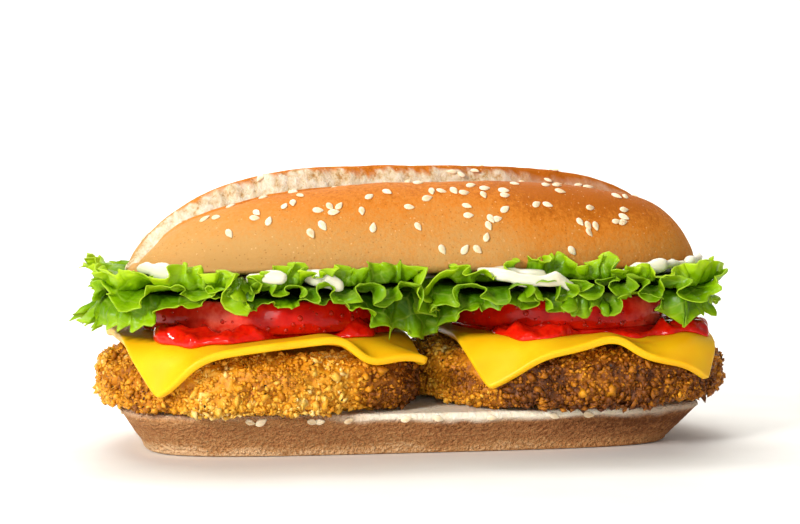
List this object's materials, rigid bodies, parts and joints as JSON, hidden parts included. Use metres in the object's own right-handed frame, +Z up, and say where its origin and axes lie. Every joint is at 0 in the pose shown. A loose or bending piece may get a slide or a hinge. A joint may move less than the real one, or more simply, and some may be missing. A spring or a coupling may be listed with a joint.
{
  "type": "veggie burger",
  "caption": "Burger in a long seeded bun: breaded veggie patties side by side, each with cheese, ketchup and tomato, under frilled lettuce and mayonnaise.",
  "frame": {"origin": "middle of the bottom bun's flat underside", "axes": "+Z up, +X along the long bun, the front at -Y"},
  "size_m": [0.1905, 0.103, 0.0785],
  "materials": {
    "crust": "baked golden-brown wheat crust with sesame seeds, soft sheen",
    "heel_crust": "baked brown crust, finely wrinkled, with a pale crumb band under the cut face",
    "breading": "deep-fried crumb coating, coarse and irregular",
    "cheese": "processed cheese, smooth, softened, satin to glossy",
    "ketchup": "wet and glossy sauce",
    "tomato": "wet cut flesh with a glossy skin rim",
    "lettuce": "fresh leaf, thin and slightly waxy, lighter at the frilled edge",
    "mayonnaise": "smooth glossy cream sauce"
  },
  "bodies": {
    "root": {"heel": "heel_crust", "patty_left": "breading", "patty_right": "breading", "cheese_left": "cheese", "cheese_right": "cheese", "ketchup_left": "ketchup", "ketchup_right": "ketchup", "tomato_left": "tomato", "tomato_right": "tomato", "lettuce_left": "lettuce", "lettuce_right": "lettuce", "mayonnaise": "mayonnaise", "crown": "crust"}
  },
  "joints": []
}
